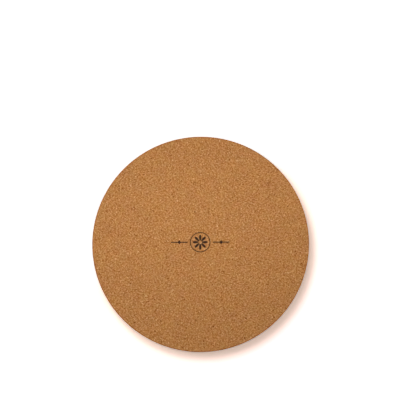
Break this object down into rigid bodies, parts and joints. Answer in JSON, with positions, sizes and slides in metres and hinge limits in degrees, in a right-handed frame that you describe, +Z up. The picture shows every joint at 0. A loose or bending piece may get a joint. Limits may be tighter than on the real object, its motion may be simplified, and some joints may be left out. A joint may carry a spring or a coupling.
{
  "type": "cork-backed placemat",
  "caption": "Round flat table mat: a fibreboard disc with a glossy printed face, a sealed edge and a sheet of granulated cork glued to its back, which grips the table.",
  "frame": {"origin": "middle of the glossy face, in the plane that the mat lies on", "axes": "+Z up through the mat from the glossy face to the cork, as the mat lies in the picture; X and Y lie in the face and are alike"},
  "size_m": [0.3, 0.3, 0.0058],
  "materials": {
    "melamine_overlay": "gloss",
    "printed_paper": "matte",
    "fibreboard": "matte",
    "kraft_backer": "satin",
    "edge_lacquer": "satin",
    "contact_glue": "satin",
    "agglomerated_cork": "matte"
  },
  "bodies": {
    "root": {"clear_overlay": "melamine_overlay", "decor_paper": "printed_paper", "board_core": "fibreboard", "balancing_sheet": "kraft_backer", "edge_seal": "edge_lacquer", "cork_adhesive": "contact_glue", "cork_backing": "agglomerated_cork"}
  },
  "joints": []
}
